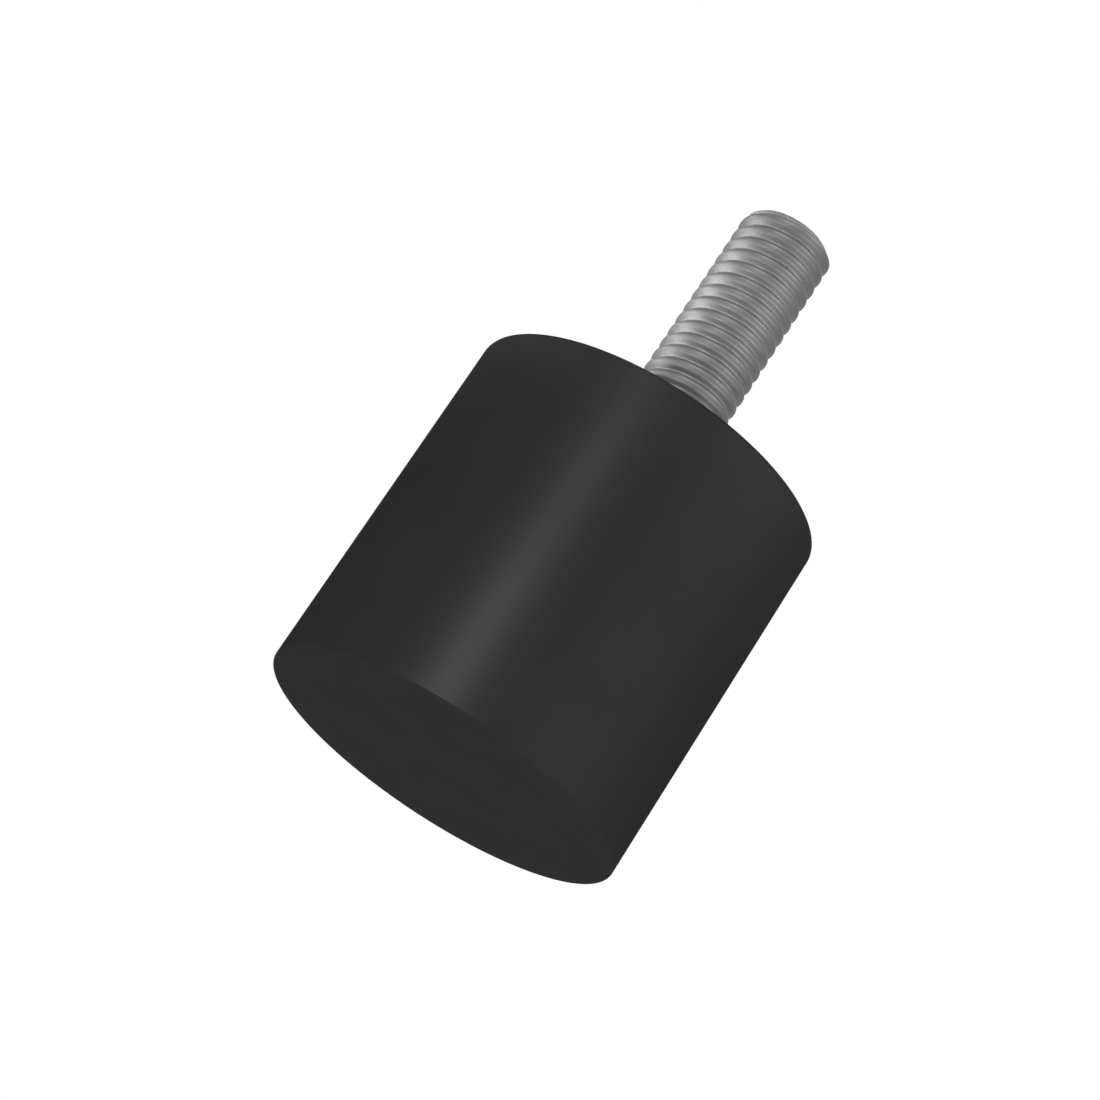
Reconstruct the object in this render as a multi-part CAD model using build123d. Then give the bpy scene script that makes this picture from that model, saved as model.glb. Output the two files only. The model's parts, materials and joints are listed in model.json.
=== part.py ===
from build123d import *

import os
from math import cos, pi, sin, sqrt

# A bobbin vibration mount: a rubber cylinder with a plain face at one end and a
# threaded stud at the other. The stud is pressed into a steel disc, and the two are
# moulded into the rubber and bonded to it.
#
# Millimetres. +Z runs along the stud. The origin is the centre of the plain rubber
# face, which the mount stands on.

# Rubber cylinder
BODY_DIAMETER = 30.0
BODY_HEIGHT = 30.0
BODY_EDGE_RADIUS = 0.25  # what the mould leaves on the two rims

# Steel disc, flush with the rubber's stud end
DISC_RUBBER_RIM = 1.0  # width of the rubber ring left round the disc
DISC_THICKNESS = 2.0
DISC_EDGE_BEVEL = 0.5  # on the side in the rubber, so that no sharp edge cuts it

# Stud: an M8 coarse thread, with a flat head behind the disc
THREAD_DIAMETER = 8.0
THREAD_PITCH = 1.25
STUD_REACH = 23.0  # from the disc's outer face to the tip
PLAIN_LENGTH = 1.0  # from the disc's outer face to where the thread starts
HEAD_DIAMETER = 13.0
HEAD_THICKNESS = 2.4
HEAD_EDGE_BEVEL = 0.5

# Ribbed neck, pressed into the disc's hole
HOLE_CLEARANCE = 0.3  # between the thread's crests and the hole, all round
RIB_COUNT = 24
RIB_BITE = 0.25  # how deep each rib cuts into the wall of the hole
GROOVE_CLEARANCE = 0.1  # between that wall and the grooves between the ribs
NECK_SETBACK = 0.5  # from the neck's end to the disc's outer face

# ISO metric thread: its pitch line and its root lie 3/8 and 5/8 of the sharp
# 60 degree triangle's height below the crests.
sharp_height = THREAD_PITCH * sqrt(3) / 2
crest_radius = THREAD_DIAMETER / 2
pitch_radius = crest_radius - 3 / 8 * sharp_height
root_radius = crest_radius - 5 / 8 * sharp_height

# Radii and heights that follow from the sizes above
disc_radius = BODY_DIAMETER / 2 - DISC_RUBBER_RIM
head_radius = HEAD_DIAMETER / 2
hole_radius = crest_radius + HOLE_CLEARANCE
rib_radius = hole_radius + RIB_BITE
groove_radius = hole_radius - GROOVE_CLEARANCE
disc_bottom = BODY_HEIGHT - DISC_THICKNESS
head_bottom = disc_bottom - HEAD_THICKNESS
neck_top = BODY_HEIGHT - NECK_SETBACK
thread_start = BODY_HEIGHT + PLAIN_LENGTH
stud_tip = BODY_HEIGHT + STUD_REACH


def rod(radius, bottom, top):
    """An upright cylinder on the Z axis, between two heights."""
    upright = (Align.CENTER, Align.CENTER, Align.MIN)
    return Pos(0, 0, bottom) * Cylinder(radius, top - bottom, align=upright)


def rim(solid, height):
    """The outermost circular edge of a solid at one height."""
    circles = solid.edges().filter_by(GeomType.CIRCLE)
    level = circles.filter_by_position(Axis.Z, height - 1e-6, height + 1e-6)
    return level.sort_by(SortBy.RADIUS)[-1]


def ribbed_neck():
    """The neck, as long as it sits in the disc: pointed upright ribs round a core."""
    half_step = pi / RIB_COUNT
    outline = []
    for i in range(2 * RIB_COUNT):
        radius = rib_radius if i % 2 == 0 else groove_radius
        outline.append((radius * cos(i * half_step), radius * sin(i * half_step)))
    section = make_face(Polyline(*outline, close=True))
    return Pos(0, 0, disc_bottom) * extrude(section, neck_top - disc_bottom)


def threaded_stud():
    """The stud, turned about Z, with its ribbed neck.

    The plain length has the thread's pitch diameter, as a stud whose thread is rolled
    has. The threaded length is a rod of the crests' diameter, with a 45 degree cone at
    each end: where the thread starts, and down to the root at the tip.
    """
    half_section = [
        (0, head_bottom),
        (head_radius - HEAD_EDGE_BEVEL, head_bottom),
        (head_radius, head_bottom + HEAD_EDGE_BEVEL),
        (head_radius, disc_bottom),
        (pitch_radius, disc_bottom),
        (pitch_radius, thread_start),
        (crest_radius, thread_start + crest_radius - pitch_radius),
        (crest_radius, stud_tip - (crest_radius - root_radius)),
        (root_radius, stud_tip),
        (0, stud_tip),
    ]
    outline = Polyline(*[(radius, 0, height) for radius, height in half_section], close=True)
    return revolve(make_face(outline), Axis.Z) + ribbed_neck()


def end_disc():
    """The disc, with a round hole that the neck's ribs have cut into."""
    disc = rod(disc_radius, disc_bottom, BODY_HEIGHT)
    disc = chamfer(rim(disc, disc_bottom), DISC_EDGE_BEVEL)
    hole = rod(hole_radius, disc_bottom, BODY_HEIGHT)
    return disc - hole - ribbed_neck()


def rubber_body(disc, stud):
    """The rubber, moulded round the disc and the stud's head, so it fills up to them."""
    block = rod(BODY_DIAMETER / 2, 0, BODY_HEIGHT)
    block = fillet([rim(block, 0), rim(block, BODY_HEIGHT)], BODY_EDGE_RADIUS)
    plugged_disc = disc + rod(rib_radius, disc_bottom, BODY_HEIGHT)
    return block - plugged_disc - stud


stud = threaded_stud()
disc = end_disc()
rubber = rubber_body(disc, stud)

os.makedirs("parts", exist_ok=True)
export_step(rubber, "parts/rubber_body.step")
export_step(disc, "parts/end_disc.step")
export_step(stud, "parts/threaded_stud.step")
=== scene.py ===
# %% [markdown]
# # A rubber bobbin mount with a threaded stud
#
# The mount is a black rubber cylinder that stands on its plain face, with a steel disc
# bonded flush into the other face and an M8 stud pressed through that disc. Its solids
# come ready-made and to size. This notebook lights them, gives them their finishes,
# and models the one thing that a solid of simple faces leaves out: the rolled thread.

import json
from math import atan, cos, pi, radians, sin, sqrt, tan

import bmesh
import bpy
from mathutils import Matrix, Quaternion, Vector


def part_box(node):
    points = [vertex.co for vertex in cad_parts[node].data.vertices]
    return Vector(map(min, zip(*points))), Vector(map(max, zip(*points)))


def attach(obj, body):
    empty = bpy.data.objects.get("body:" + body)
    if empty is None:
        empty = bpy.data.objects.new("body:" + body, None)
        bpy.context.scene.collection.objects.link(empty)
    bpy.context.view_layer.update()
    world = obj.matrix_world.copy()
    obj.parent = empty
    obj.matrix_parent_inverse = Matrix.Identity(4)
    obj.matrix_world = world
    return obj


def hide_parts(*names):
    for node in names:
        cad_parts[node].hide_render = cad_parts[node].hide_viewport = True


MM = 0.001

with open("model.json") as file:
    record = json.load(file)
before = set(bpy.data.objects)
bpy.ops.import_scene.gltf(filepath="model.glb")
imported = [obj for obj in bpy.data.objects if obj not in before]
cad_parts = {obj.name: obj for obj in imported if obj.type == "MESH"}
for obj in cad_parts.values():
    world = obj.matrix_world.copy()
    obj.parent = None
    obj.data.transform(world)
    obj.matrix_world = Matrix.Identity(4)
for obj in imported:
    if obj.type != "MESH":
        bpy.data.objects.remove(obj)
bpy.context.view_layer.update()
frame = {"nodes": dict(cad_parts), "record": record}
print("solids:", sorted(frame["nodes"]))

# %% [markdown]
# ## Sizes
#
# Everything is in metres. The heights and radii could all be typed in, but a number that
# is read off a solid stays right when the solid changes, so that is done wherever the
# solids can say it. What they can't say is the thread's own: its pitch, and the short
# plain length under it. The pitch line and the root of a metric thread lie 3/8 and 5/8
# of the height of its sharp triangle below the crests.

# %% Read and work out the sizes
PITCH = 1.25 * MM
PLAIN_LENGTH = 1.0 * MM

disc_low, disc_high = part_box("end_disc")
stud_low, stud_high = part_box("threaded_stud")
seat_height = disc_high.z
tip_height = stud_high.z
head_radius = stud_high.x
thread_start = seat_height + PLAIN_LENGTH

mounts = {mount["name"]: mount for mount in frame["record"]["mounts"]}
crest_radius = mounts["stud"]["dims"]["r_mm"] * MM
sharp_height = PITCH * sqrt(3) / 2
pitch_radius = crest_radius - 3 / 8 * sharp_height
root_radius = crest_radius - 5 / 8 * sharp_height

print("stud stands out, mm:", round((tip_height - seat_height) / MM, 2))
print("crests, pitch line and root, mm:", end=" ")
print([round(radius / MM, 3) for radius in (crest_radius, pitch_radius, root_radius)])

# %% [markdown]
# ## Rolling the thread
#
# A stud's thread is rolled, not cut: hard dies press grooves into a plain blank, and
# nothing about it is sharp. The plating rounds it further, so that each groove is a
# shallow vee with soft shoulders and a soft root. One pitch is drawn as a line of edges
# from crest to crest, and a bevel of its points rounds the corners. The sharp form of the
# standard would be easier to draw, but it catches the light as no rolled stud does.

# %% Draw one pitch of the thread
GROOVE_WIDTH = 0.78 * MM
FLANK_SLOPE = radians(46)
SHOULDER_REACH = 0.16 * MM
ROOT_REACH = 0.15 * MM
CORNER_STEPS = 5


def draw_pitch(bm, root_height):
    """Adds one pitch of the thread's form in the XZ plane, and returns its depth."""
    half_groove = GROOVE_WIDTH / 2
    corners = [
        (crest_radius, -PITCH / 2),
        (crest_radius, -half_groove),
        (crest_radius - half_groove * tan(FLANK_SLOPE), 0),
        (crest_radius, half_groove),
        (crest_radius, PITCH / 2),
    ]
    verts = [bm.verts.new((r, 0, root_height + z)) for r, z in corners]
    for pair in zip(verts, verts[1:]):
        bm.edges.new(pair)
    for corner, reach in zip(verts[1:4], (SHOULDER_REACH, ROOT_REACH, SHOULDER_REACH)):
        bmesh.ops.bevel(
            bm,
            geom=[corner],
            offset=reach,
            offset_type="OFFSET",
            segments=CORNER_STEPS,
            profile=0.5,
            affect="VERTICES",
            material=-1,
        )
    return crest_radius - min(vert.co.x for vert in bm.verts)


print("groove, mm:", round(GROOVE_WIDTH / MM, 2), "wide at the crests")

# %% [markdown]
# A spin that also climbs by one pitch a turn sweeps that line into the whole helix. A
# stack of rings would be simpler, but it has no lead, and a nut could never climb it. The
# helix starts somewhere round the stud: `ROOT_START` is the height over the disc at which
# the root crosses the X axis. Neighbouring turns share their edges, so these are merged.

# %% Sweep the helix
STEPS_A_TURN = 72
SPARE_TURNS = 2
ROOT_START = 0.40 * MM
MERGE_REACH = 0.0005 * MM


def sweep_thread(bm, low, high):
    """Adds the helix from below low to above high, and returns the groove's depth."""
    turns_before = int((seat_height - low) / PITCH) + SPARE_TURNS
    depth = draw_pitch(bm, seat_height + ROOT_START - turns_before * PITCH)
    turns = turns_before + int((high - seat_height) / PITCH) + SPARE_TURNS
    bmesh.ops.spin(
        bm,
        geom=bm.verts[:] + bm.edges[:],
        cent=(0, 0, 0),
        axis=(0, 0, 1),
        dvec=(0, 0, PITCH / STEPS_A_TURN),
        angle=2 * pi * turns,
        steps=STEPS_A_TURN * turns,
        use_merge=False,
    )
    bmesh.ops.remove_doubles(bm, verts=bm.verts, dist=MERGE_REACH)
    return depth


stud_mesh = bmesh.new()
groove_depth = sweep_thread(stud_mesh, thread_start, tip_height)
print("groove depth, mm:", round(groove_depth / MM, 3))

# %% [markdown]
# A helix has slanting ends, and the stud's are level. So the sweep is longer than the
# thread by a few turns, and is cut off level at both ends. A third cut clears nothing
# away: it leaves a ring of points where the cone of the tip will start, so that the cone
# gets a clean edge.

# %% Cut the thread to length
CUT_REACH = 0.0001 * MM


def cut_level(bm, height, side=0):
    """Cuts across at a height; side 1 clears what is above and -1 what is below."""
    bmesh.ops.bisect_plane(
        bm,
        geom=bm.verts[:] + bm.edges[:] + bm.faces[:],
        dist=CUT_REACH,
        plane_co=(0, 0, height),
        plane_no=(0, 0, 1),
        clear_outer=side > 0,
        clear_inner=side < 0,
    )


nose_start = tip_height - (crest_radius - root_radius)
cut_level(stud_mesh, nose_start)
cut_level(stud_mesh, thread_start, side=-1)
cut_level(stud_mesh, tip_height, side=1)
print("thread faces:", len(stud_mesh.faces))

# %% [markdown]
# The blank had a cone at each end before it was rolled, so nothing on the thread stands
# outside that blank. Cutting the cones with a boolean would leave slivers all along the
# crests. Instead, each point that stands outside is drawn straight in: at the tip this
# gives the lead-in that finds a nut, and at the disc the thread dies out on its neck. The
# lowest ring is drawn to a true circle, from which the neck can grow.

# %% Fit the thread to its blank
HAIR = 0.001 * MM  # heights closer than this count as the same


def blank_radius(height):
    """The blank's radius at a height: a cone at each end of the full diameter."""
    lower_cone = pitch_radius + (height - thread_start)
    upper_cone = root_radius + (tip_height - height)
    return min(crest_radius, lower_cone, upper_cone)


def set_radius(vert, radius):
    """Moves a point straight in or out from the Z axis."""
    vert.co.xy *= radius / vert.co.xy.length


for vert in stud_mesh.verts:
    limit = blank_radius(vert.co.z)
    if vert.co.xy.length > limit or vert.co.z < thread_start + HAIR:
        set_radius(vert, limit)

widest = max(vert.co.xy.length for vert in stud_mesh.verts)
print("widest point, mm:", round(widest / MM, 3))

# %% [markdown]
# ## Tip
#
# The stud ends in a flat, and the plating leaves the flat's edge a little soft. A bevel
# round the open rim would run into the slanting faces of the thread, so two small rings
# are grown inwards from the rim instead, and the last one is closed.

# %% Close the tip
TIP_SOFTNESS = 0.08 * MM
TIP_RINGS = ((0.3, 0.3), (1.0, 0.0))  # inwards and below the flat, in softnesses


def rim_edges(bm, height):
    """The open edges that lie at a height."""
    return [
        edge
        for edge in bm.edges
        if edge.is_boundary and all(abs(vert.co.z - height) < HAIR for vert in edge.verts)
    ]


def of_kind(kind, geometry):
    """The points or the edges among what an operator made."""
    return [item for item in geometry if isinstance(item, kind)]


def grow_ring(bm, edges, radius, height):
    """Grows a rim on to a ring at a radius and a height, and returns the new rim."""
    grown = bmesh.ops.extrude_edge_only(bm, edges=edges)["geom"]
    for vert in of_kind(bmesh.types.BMVert, grown):
        set_radius(vert, radius)
        vert.co.z = height
    return of_kind(bmesh.types.BMEdge, grown)


tip_rim = rim_edges(stud_mesh, tip_height)
for vert in {vert for edge in tip_rim for vert in edge.verts}:
    vert.co.z -= TIP_SOFTNESS
for inwards, below in TIP_RINGS:
    ring_radius = root_radius - inwards * TIP_SOFTNESS
    ring_height = tip_height - below * TIP_SOFTNESS
    tip_rim = grow_ring(stud_mesh, tip_rim, ring_radius, ring_height)
bmesh.ops.holes_fill(stud_mesh, edges=tip_rim, sides=0)
print("tip: a flat", round(2 * ring_radius / MM, 2), "mm across")

# %% [markdown]
# ## Neck
#
# Below the thread the stud is plain for a millimetre and a half. Then come pointed
# upright ribs, which cut into the wall of the disc's hole as the stud is pressed in, so
# that it can't turn in the disc. A ribbed cylinder could be pushed into the stud, but two
# shells that overlap aren't one piece of steel. So the open rim under the thread grows
# downwards, and a circle with its points drawn in and out by turns is bridged on to it.

# %% Grow the neck and its ribs
RIBS = 24
STEPS_A_RIB = 4
RIB_RADIUS = 4.55 * MM
GROOVE_RADIUS = 4.20 * MM
NECK_SETBACK = 0.5 * MM

neck_top = seat_height - NECK_SETBACK
neck_rim = rim_edges(stud_mesh, thread_start)
neck_rim = grow_ring(stud_mesh, neck_rim, pitch_radius, neck_top)

rib_ring = bmesh.ops.create_circle(
    stud_mesh, segments=RIBS * STEPS_A_RIB, radius=GROOVE_RADIUS, cap_ends=False
)["verts"]
for vert in rib_ring:
    ribs_passed = Vector((1, 0)).angle_signed(vert.co.xy, 0) / (2 * pi) * RIBS
    rise = abs(2 * (ribs_passed % 1) - 1)
    set_radius(vert, GROOVE_RADIUS + rise * (RIB_RADIUS - GROOVE_RADIUS))
    vert.co.z = neck_top
rib_rim = list({edge for vert in rib_ring for edge in vert.link_edges})
bmesh.ops.bridge_loops(stud_mesh, edges=neck_rim + rib_rim)

ribs_down = bmesh.ops.extrude_edge_only(stud_mesh, edges=rib_rim)["geom"]
for vert in of_kind(bmesh.types.BMVert, ribs_down):
    vert.co.z = disc_low.z
head_rim = of_kind(bmesh.types.BMEdge, ribs_down)
print("ribs:", RIBS, "of", round((neck_top - disc_low.z) / MM, 2), "mm")

# %% [markdown]
# ## Head
#
# Behind the disc the stud has a flat head with a bevelled edge, which the rubber holds.
# Nobody sees it in the finished mount, but the stud isn't a closed skin without it. It
# grows from the same rim in three rings, and the last one is closed. New faces can point
# either way, so the normals of the whole skin are then made to point outwards.

# %% Grow the head and close the stud
HEAD_BEVEL = 0.5 * MM

head_rings = (
    (head_radius, disc_low.z),
    (head_radius, stud_low.z + HEAD_BEVEL),
    (head_radius - HEAD_BEVEL, stud_low.z),
)
for ring_radius, ring_height in head_rings:
    head_rim = grow_ring(stud_mesh, head_rim, ring_radius, ring_height)
bmesh.ops.holes_fill(stud_mesh, edges=head_rim, sides=0)
bmesh.ops.recalc_face_normals(stud_mesh, faces=stud_mesh.faces)

open_edges = sum(not edge.is_manifold for edge in stud_mesh.edges)
print("stud faces:", len(stud_mesh.faces), "open or doubled edges:", open_edges)

# %% [markdown]
# The mesh becomes an object here. Flat shading would show every step of the spin, and
# smooth shading all over would smear the light round the ribs and the head. So the
# shading is smooth over the rounded thread, and breaks where two faces meet at a real
# edge. The stud then takes the place of the plain solid that came with the mount.

# %% Make the stud an object
SHARPEST_SMOOTH = radians(35)


def finish_mesh(bm, name):
    """Turns a bmesh into an object with smooth shading between its sharp edges."""
    mesh = bpy.data.meshes.new(name)
    bm.to_mesh(mesh)
    bm.free()
    mesh.shade_smooth()
    mesh.set_sharp_from_angle(angle=SHARPEST_SMOOTH)
    piece = bpy.data.objects.new(name, mesh)
    bpy.context.scene.collection.objects.link(piece)
    return piece


stud = finish_mesh(stud_mesh, "rolled_stud")
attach(stud, "root")
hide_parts("threaded_stud")
print("stud, mm:", [round(side / MM, 2) for side in stud.dimensions])

# %% [markdown]
# ## Finishes
#
# A finish is a small tree of shader nodes. One flat colour and one roughness over a whole
# piece look drawn, so each finish varies a little, as the real surface does. A picture of
# rubber or steel could be wrapped round the pieces, but it would need unwrapping and would
# show its seam. Noise is worked out at each point instead. It reads the Object coordinates,
# in metres, so that it keeps its real size and stays where it is on the piece.

# %% Start a finish


def new_finish(name):
    """A material with nothing in its node tree but its shader and output."""
    material = bpy.data.materials.new(name)
    material.use_nodes = True
    nodes = material.node_tree.nodes
    return material, nodes, material.node_tree.links, nodes["Principled BSDF"]


# %% [markdown]
# Noise is the raw stuff of every pattern here. It wanders round a half, mostly between
# 0.3 and 0.7, so its range is spread to the one that is wanted. A colour ramp could do
# that too, but it gives colours, and most settings of a shader are plain numbers.

# %% Make a pattern


def noise(nodes, links, place, scale, detail=3.0, roughness=0.5):
    """A noise, read at a place, with so many lumps to the metre."""
    texture = nodes.new("ShaderNodeTexNoise")
    texture.inputs["Scale"].default_value = scale
    texture.inputs["Detail"].default_value = detail
    texture.inputs["Roughness"].default_value = roughness
    links.new(place, texture.inputs["Vector"])
    return texture.outputs["Fac"]


def between(nodes, links, value, low, high, from_low=0.3, from_high=0.7, curve="LINEAR"):
    """Maps a value, such as a noise's usual range, to the range from low to high."""
    mapped = nodes.new("ShaderNodeMapRange")
    mapped.interpolation_type = curve
    mapped.inputs["From Min"].default_value = from_low
    mapped.inputs["From Max"].default_value = from_high
    mapped.inputs["To Min"].default_value = low
    mapped.inputs["To Max"].default_value = high
    links.new(value, mapped.inputs["Value"])
    return mapped.outputs["Result"]


# %% [markdown]
# A pattern shows as a change of grey or as a raised grain. The grain could be modelled,
# but at a few thousandths of a millimetre that would take millions of faces. A bump only
# turns the light as those faces would, and at this size nobody can tell.

# %% Show a pattern


def grey_between(nodes, links, value, dark, pale):
    """A grey that follows a value from dark to pale."""
    mix = nodes.new("ShaderNodeMix")
    mix.data_type = "RGBA"
    mix.inputs["A"].default_value = (dark, dark, dark, 1)
    mix.inputs["B"].default_value = (pale, pale, pale, 1)
    links.new(value, mix.inputs["Factor"])
    return mix.outputs["Result"]


def raise_by(nodes, links, value, height, shader):
    """Raises the surface by up to a height, in metres, where a value is 1."""
    bump = nodes.new("ShaderNodeBump")
    bump.inputs["Strength"].default_value = 1.0
    bump.inputs["Distance"].default_value = height
    links.new(value, bump.inputs["Height"])
    links.new(bump.outputs["Normal"], shader.inputs["Normal"])
    return bump.outputs["Normal"]


# %% [markdown]
# ## Moulded rubber
#
# The body is rubber filled with soot and pressed in a steel mould, which leaves a smooth,
# matt, nearly even skin. It could be a plain black with the shader's own gloss, but that
# gloss glows along the outline, where real rubber stays dark. So the gloss is switched
# off, and a thin, rough coat takes its place. Its index is set so high that it shines
# about as little at the outline as in the middle. A faint cloudiness and a grain of two
# thousandths of a millimetre keep the skin from looking drawn.

# %% Make the rubber
RUBBER_GREYS = (0.0100, 0.0112)
RUBBER_ROUGHNESS = (0.85, 0.95)
RUBBER_CLOUDS = 180
MOULD_GRAIN = 6000
MOULD_GRAIN_HEIGHT = 0.002 * MM
RUBBER_COAT = {"Coat Weight": 0.036, "Coat Roughness": 0.42, "Coat IOR": 4.0}


def moulded_rubber():
    """Matt black rubber with a weak, broad sheen."""
    material, nodes, links, shader = new_finish("moulded_rubber")
    place = nodes.new("ShaderNodeTexCoord").outputs["Object"]
    cloud = between(nodes, links, noise(nodes, links, place, RUBBER_CLOUDS), 0, 1)
    links.new(grey_between(nodes, links, cloud, *RUBBER_GREYS), shader.inputs["Base Color"])
    grain = noise(nodes, links, place, MOULD_GRAIN, detail=2.0)
    links.new(between(nodes, links, grain, *RUBBER_ROUGHNESS), shader.inputs["Roughness"])
    grained = raise_by(nodes, links, grain, MOULD_GRAIN_HEIGHT, shader)
    links.new(grained, shader.inputs["Coat Normal"])
    shader.inputs["Specular IOR Level"].default_value = 0.0
    for setting, amount in RUBBER_COAT.items():
        shader.inputs[setting].default_value = amount
    return material


rubber_body = frame["nodes"]["rubber_body"]
rubber_body.material_slots[0].material = moulded_rubber()
print("rubber:", len(rubber_body.active_material.node_tree.nodes), "nodes")

# %% [markdown]
# ## Plated steel
#
# The stud and the disc are steel with a thin coat of zinc that has gone dull. A metal has
# no colour but that of what it mirrors, so the grey goes into a fully metallic shader, and
# the roughness decides how soft the lamps look in it.
#
# Rolling draws the stud's skin out along its thread. Stretching the noise along one axis
# would give straight streaks. To make them follow the thread, the noise is read at a
# place that goes round with the helix: its first two numbers are the same all along a
# crest, and the third climbs slowly.

# %% Follow the thread
STREAK_CLIMB = 400.0


def maths(nodes, links, operation, first, second=None):
    """One step of arithmetic on numbers or sockets."""
    node = nodes.new("ShaderNodeMath")
    node.operation = operation
    for socket, value in zip(node.inputs, (first, second)):
        if isinstance(value, (int, float)):
            socket.default_value = value
        elif value is not None:
            links.new(value, socket)
    return node.outputs["Value"]


def helix_place(nodes, links, place):
    """A place that stays the same along the thread, but for a slow climb."""
    split = nodes.new("ShaderNodeSeparateXYZ")
    links.new(place, split.inputs["Vector"])
    x, y, z = split.outputs
    angle = maths(nodes, links, "ARCTAN2", y, x)
    climb = maths(nodes, links, "MULTIPLY", z, 2 * pi / PITCH)
    phase = maths(nodes, links, "SUBTRACT", climb, angle)
    join = nodes.new("ShaderNodeCombineXYZ")
    links.new(maths(nodes, links, "COSINE", phase), join.inputs["X"])
    links.new(maths(nodes, links, "SINE", phase), join.inputs["Y"])
    links.new(maths(nodes, links, "MULTIPLY", z, STREAK_CLIMB), join.inputs["Z"])
    return join.outputs["Vector"]


# %% [markdown]
# Down in the grooves the steel mirrors its own flanks and the dark rubber, so shade falls
# there. Light is painted into the grooves to make up for that shade. A mask could be painted
# by hand, but the distance from the stud's axis already tells crest from groove, so the
# colour is scaled up as that distance falls.

# %% Paint light into the grooves
GROOVE_LIGHT_GAIN = 1.35
PAINTED_LIGHT_DEPTH_SHARE = 0.4  # how much of the groove's depth the painted light takes to reach full strength


def off_axis(nodes, links, place):
    """How far a place is from the Z axis."""
    flatten = nodes.new("ShaderNodeVectorMath")
    flatten.operation = "MULTIPLY"
    flatten.inputs[1].default_value = (1, 1, 0)
    links.new(place, flatten.inputs[0])
    across = nodes.new("ShaderNodeVectorMath")
    across.operation = "LENGTH"
    links.new(flatten.outputs["Vector"], across.inputs[0])
    return across.outputs["Value"]


def paint_groove_light(nodes, links, place, colour):
    """Paints light into the grooves: scales a colour up as the distance from the axis falls.
    """
    radius = off_axis(nodes, links, place)
    painted_span = (crest_radius, crest_radius - groove_depth * PAINTED_LIGHT_DEPTH_SHARE)
    gain = between(nodes, links, radius, 1.0, GROOVE_LIGHT_GAIN, *painted_span)
    paler = nodes.new("ShaderNodeVectorMath")
    paler.operation = "SCALE"
    links.new(colour, paler.inputs[0])
    links.new(gain, paler.inputs["Scale"])
    return paler.outputs["Vector"]


# %% [markdown]
# Stud and disc get the same plating, so one function makes both finishes. The disc was
# stamped from flat sheet: it has faint clouds where the stud has streaks, and it is a
# little paler and smoother.

# %% Make the two steel finishes
THREAD_GREYS, THREAD_ROUGHNESS = (0.098, 0.106), (0.50, 0.56)
DISC_GREYS, DISC_ROUGHNESS = (0.185, 0.215), (0.40, 0.48)
STREAKS = 1.6
ZINC_CLOUDS = 700
ZINC_GRAIN = 4000
ZINC_GRAIN_HEIGHT = 0.001 * MM


def plated_steel(name, greys, roughnesses, rolled=False):
    """Dull zinc on steel: clouded where it is flat, streaked where it was rolled, with
    painted light in the rolled stud's grooves.
    """
    material, nodes, links, shader = new_finish(name)
    place = nodes.new("ShaderNodeTexCoord").outputs["Object"]
    if rolled:
        along = helix_place(nodes, links, place)
        tone = noise(nodes, links, along, STREAKS, detail=4.0, roughness=0.6)
    else:
        tone = noise(nodes, links, place, ZINC_CLOUDS)
    tone = between(nodes, links, tone, 0, 1)
    colour = grey_between(nodes, links, tone, *greys)
    if rolled:
        # painted light: the grooves are made paler to make up for the shade that falls in
        # them
        colour = paint_groove_light(nodes, links, place, colour)
    links.new(colour, shader.inputs["Base Color"])
    grain = noise(nodes, links, place, ZINC_GRAIN, detail=4.0)
    links.new(between(nodes, links, grain, *roughnesses), shader.inputs["Roughness"])
    raise_by(nodes, links, grain, ZINC_GRAIN_HEIGHT, shader)
    shader.inputs["Metallic"].default_value = 1.0
    return material


thread_finish = plated_steel("plated_thread", THREAD_GREYS, THREAD_ROUGHNESS, rolled=True)
disc_finish = plated_steel("plated_disc", DISC_GREYS, DISC_ROUGHNESS)
stud.data.materials.append(thread_finish)
frame["nodes"]["end_disc"].material_slots[0].material = disc_finish
for finish in (thread_finish, disc_finish):
    print(finish.name + ":", len(finish.node_tree.nodes), "nodes")

# %% [markdown]
# ## Pale floor
#
# The mount stands on its plain face, so the floor lies under that face. A square of floor
# would show its far edge as a line behind the mount. This one is a round sheet that
# fades out with the distance from the mount, as the paper in a studio does where it
# curves up into a white wall. It is there for a camera above it alone: a camera below
# looks straight through it at the plain face, and no light on the mount depends on it.

# %% Make the paper
FLOOR_GREY = 0.8
FLOOR_ROUGHNESS = 0.9
FADE_START, FADE_END = 0.10, 0.42


def fading_paper():
    """Matt paper that only a camera above it sees, and that fades out with distance."""
    material, nodes, links, shader = new_finish("pale_floor")
    shader.inputs["Base Color"].default_value = (FLOOR_GREY, FLOOR_GREY, FLOOR_GREY, 1)
    shader.inputs["Roughness"].default_value = FLOOR_ROUGHNESS
    away = off_axis(nodes, links, nodes.new("ShaderNodeTexCoord").outputs["Object"])
    fade = between(nodes, links, away, 1.0, 0.0, FADE_START, FADE_END, curve="SMOOTHSTEP")
    camera_ray = nodes.new("ShaderNodeLightPath").outputs["Is Camera Ray"]
    from_below = nodes.new("ShaderNodeNewGeometry").outputs["Backfacing"]
    from_above = maths(nodes, links, "SUBTRACT", 1.0, from_below)
    seen = maths(nodes, links, "MULTIPLY", camera_ray, from_above)
    clear = nodes.new("ShaderNodeBsdfTransparent")
    mix = nodes.new("ShaderNodeMixShader")
    links.new(maths(nodes, links, "MULTIPLY", seen, fade), mix.inputs["Fac"])
    links.new(clear.outputs["BSDF"], mix.inputs[1])
    links.new(shader.outputs["BSDF"], mix.inputs[2])
    links.new(mix.outputs["Shader"], nodes["Material Output"].inputs["Surface"])
    return material


paper = fading_paper()
print("paper: fades out from", FADE_START, "to", FADE_END, "m from the mount")

# %% Lay the floor
FLOOR_RADIUS = 0.6
FLOOR_SIDES = 128
FLOOR_GAP = 0.02 * MM

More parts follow.
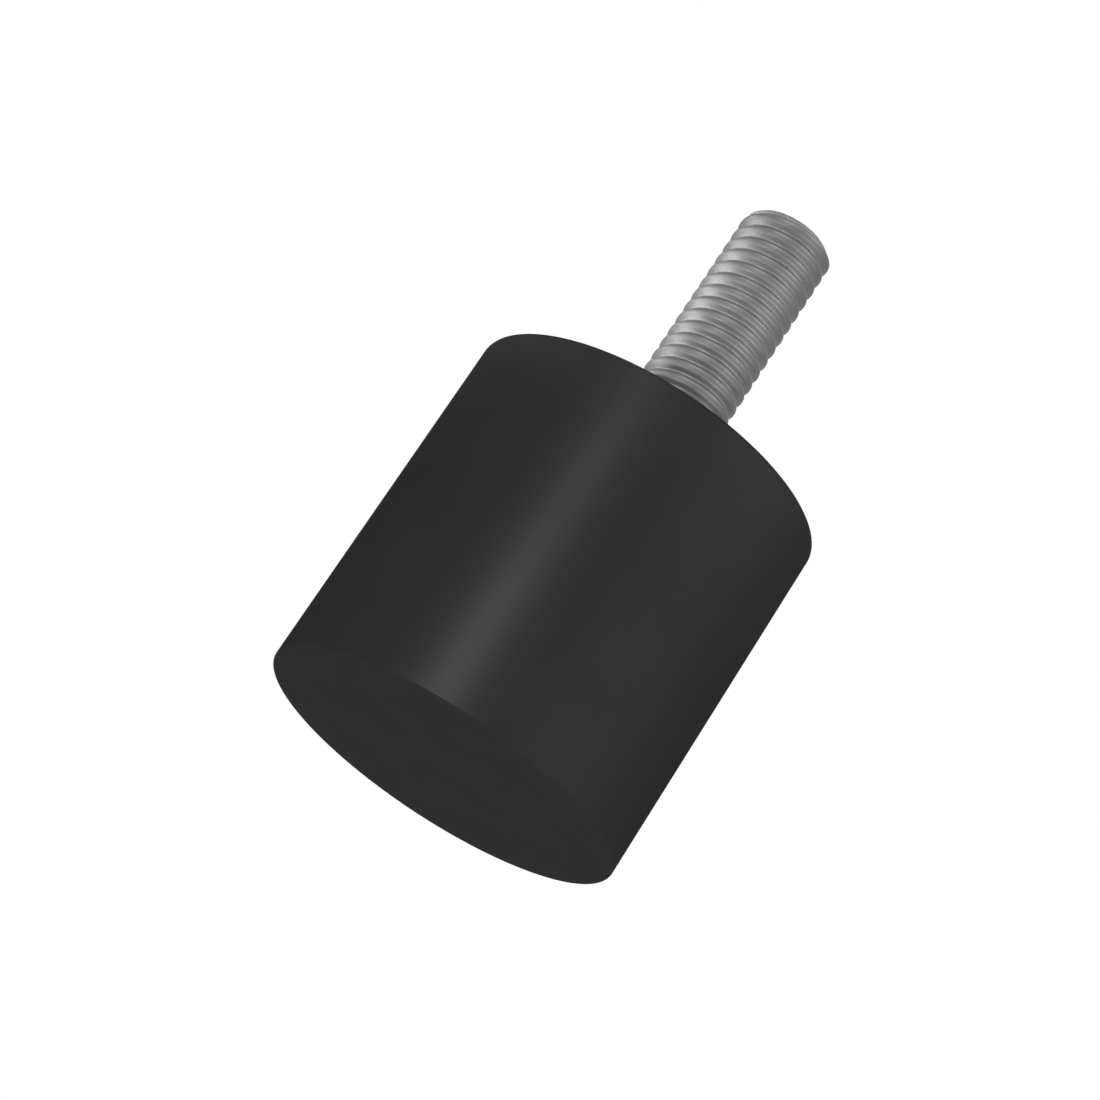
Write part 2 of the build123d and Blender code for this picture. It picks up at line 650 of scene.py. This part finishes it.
floor_mesh = bmesh.new()
bmesh.ops.create_circle(
    floor_mesh, segments=FLOOR_SIDES, radius=FLOOR_RADIUS, cap_ends=True
)
bmesh.ops.translate(floor_mesh, verts=floor_mesh.verts, vec=(0, 0, -FLOOR_GAP))
floor = finish_mesh(floor_mesh, "floor")
floor.data.materials.append(paper)
print("floor:", round(floor.dimensions.x, 2), "m across")

# %% [markdown]
# ## Soft light
#
# Most of the light comes from the room: a world that is plain grey where it lights, and
# white where the camera or a mirror looks at it. Turning the world up until it looked
# white would wash the black rubber out, so what is seen and what lights are set apart.

# %% Paint the room white
ROOM_LEVEL = 0.72


def white_room(level):
    """A world that is white where it is seen, and a plain grey where it lights."""
    world = bpy.data.worlds.new("white_room")
    bpy.context.scene.world = world
    world.use_nodes = True
    nodes, links = world.node_tree.nodes, world.node_tree.links
    path = nodes.new("ShaderNodeLightPath").outputs
    mirrored = maths(nodes, links, "MAXIMUM", path["Is Camera Ray"], path["Is Glossy Ray"])
    seen = maths(nodes, links, "MAXIMUM", mirrored, path["Is Transmission Ray"])
    strength = between(nodes, links, seen, level, 1.0, 0.0, 1.0)
    links.new(strength, nodes["Background"].inputs["Strength"])
    nodes["Background"].inputs["Color"].default_value = (1, 1, 1, 1)


white_room(ROOM_LEVEL)
print("room: lights at", ROOM_LEVEL, "and looks white")

# %% [markdown]
# Dull metal and matt rubber need more than an even room, which shows no form. Two kinds
# of lamp are hung at arm's length: round soft ones, and spots whose pool of light is just
# as wide as what it is aimed at. The spots leave the floor out, as lamps with a card in
# front of them would, and the floor keeps only the mount's soft shadow. A pool of light
# could be cut off by real cards as well, but these would show in the metal.

# %% Two kinds of lamp
LAMP_DISTANCE = 0.5

not_the_floor = bpy.data.collections.new("not_the_floor")
not_the_floor.objects.link(floor)
not_the_floor.collection_objects[0].light_linking.link_state = "EXCLUDE"


def hang(lamp, target_height, azimuth, elevation):
    """Hangs a lamp in a direction, in degrees, from a point on the Z axis it faces."""
    holder = bpy.data.objects.new(lamp.name, lamp)
    around, up = radians(azimuth), radians(elevation)
    outward = Vector((cos(around) * cos(up), sin(around) * cos(up), sin(up)))
    holder.location = Vector((0, 0, target_height)) + LAMP_DISTANCE * outward
    holder.rotation_mode = "QUATERNION"
    holder.rotation_quaternion = (-outward).to_track_quat("-Z", "Y")
    bpy.context.scene.collection.objects.link(holder)
    return holder


def soft_lamp(name, target_height, azimuth, elevation, power, width):
    """A round soft lamp."""
    lamp = bpy.data.lights.new(name, "AREA")
    lamp.shape = "DISK"
    lamp.size = width
    lamp.energy = power
    return hang(lamp, target_height, azimuth, elevation)


def spot_lamp(name, target_height, azimuth, elevation, power, width, reach, blend):
    """A spot whose pool of light reaches so far round its target, but not the floor."""
    lamp = bpy.data.lights.new(name, "SPOT")
    lamp.shadow_soft_size = width / 2
    lamp.energy = power
    lamp.spot_size = 2 * atan(reach / LAMP_DISTANCE)
    lamp.spot_blend = blend
    holder = hang(lamp, target_height, azimuth, elevation)
    holder.light_linking.receiver_collection = not_the_floor
    return holder


# %% [markdown]
# A rod of dull metal only looks round when several small, bright things stand about it.
# So a ring of narrow spots is aimed at the stud: two from high up, two from just above
# it and five from below. Most of them are on the left, where the stud has its broad
# highlight. Each is one row of a table, which is easier to change than nine calls.

# %% Light the stud
STUD_SPOT_WIDTH = 0.02
CLEAN_EDGE = 0.2
STUD_SPOTS = (
    # height of the target, azimuth, elevation, power, reach
    (0.0430, 165, 10, 5.8, 0.0150),
    (0.0430, 195, 10, 3.6, 0.0150),
    (0.0450, 165, -28, 3.8, 0.0125),
    (0.0450, 180, -28, 5.3, 0.0125),
    (0.0450, 240, -20, 4.5, 0.0125),
    (0.0430, -115, 50, 5.0, 0.0150),
    (0.0450, -60, -25, 3.0, 0.0125),
    (0.0450, -30, -25, 3.6, 0.0125),
    (0.0430, -30, 50, 4.7, 0.0150),
)

for number, (*direction, power, reach) in enumerate(STUD_SPOTS, 1):
    name = f"stud_spot_{number}"
    spot_lamp(name, *direction, power, STUD_SPOT_WIDTH, reach, CLEAN_EDGE)
print("stud:", len(STUD_SPOTS), "spots")

# %% [markdown]
# One wider spot with a soft edge gives the rubber its single broad sheen. A large soft
# lamp fills in from the right, and one under the floor lights the plain face. That one
# is kept out of reflections, or the rubber's rounded edge would show it as a bright line.

# %% Light the body
SOFT_EDGE = 1.0

spot_lamp("body_spot", -0.004, -113, 12, power=6.1, width=0.08, reach=0.048, blend=SOFT_EDGE)
soft_lamp("fill_lamp", 0.025, -28, 8, power=1.05, width=0.8)
under_lamp = soft_lamp("under_lamp", 0.0, -90, -89, power=2.1, width=0.3)
under_lamp.visible_glossy = False
print("lamps in all:", len(bpy.data.lights))

# %% [markdown]
# ## Camera
#
# The mount is seen from a little below its plain face, leaning over to the right, through
# a long lens that hardly spreads its sides. To lean the mount itself would take it off
# its floor, so the camera is rolled instead: it is aimed first, and then turned about its
# own line of sight. The Standard view shows each colour as it is written.

# %% Set up the camera
CAMERA_PLACE = Vector((0, -224.77, -62.97)) * MM
CAMERA_AIM = Vector((-2.21, 0, 19.31)) * MM
CAMERA_ROLL = Quaternion((0, 0, 1), radians(33.567))
FRAME_AT_1_M = 0.353198  # how wide a strip the lens takes in at one metre
NEAREST, FARTHEST = 0.001, 10

camera = bpy.data.objects.new("camera", bpy.data.cameras.new("camera"))
camera.data.sensor_width = 36
camera.data.angle = 2 * atan(FRAME_AT_1_M / 2)
camera.data.clip_start = NEAREST
camera.data.clip_end = FARTHEST
camera.location = CAMERA_PLACE
camera.rotation_mode = "QUATERNION"
aimed = (CAMERA_AIM - CAMERA_PLACE).to_track_quat("-Z", "Y")
camera.rotation_quaternion = aimed @ CAMERA_ROLL
bpy.context.scene.collection.objects.link(camera)
bpy.context.scene.camera = camera
bpy.context.scene.view_settings.view_transform = "Standard"
print("lens, mm:", round(camera.data.lens, 2))
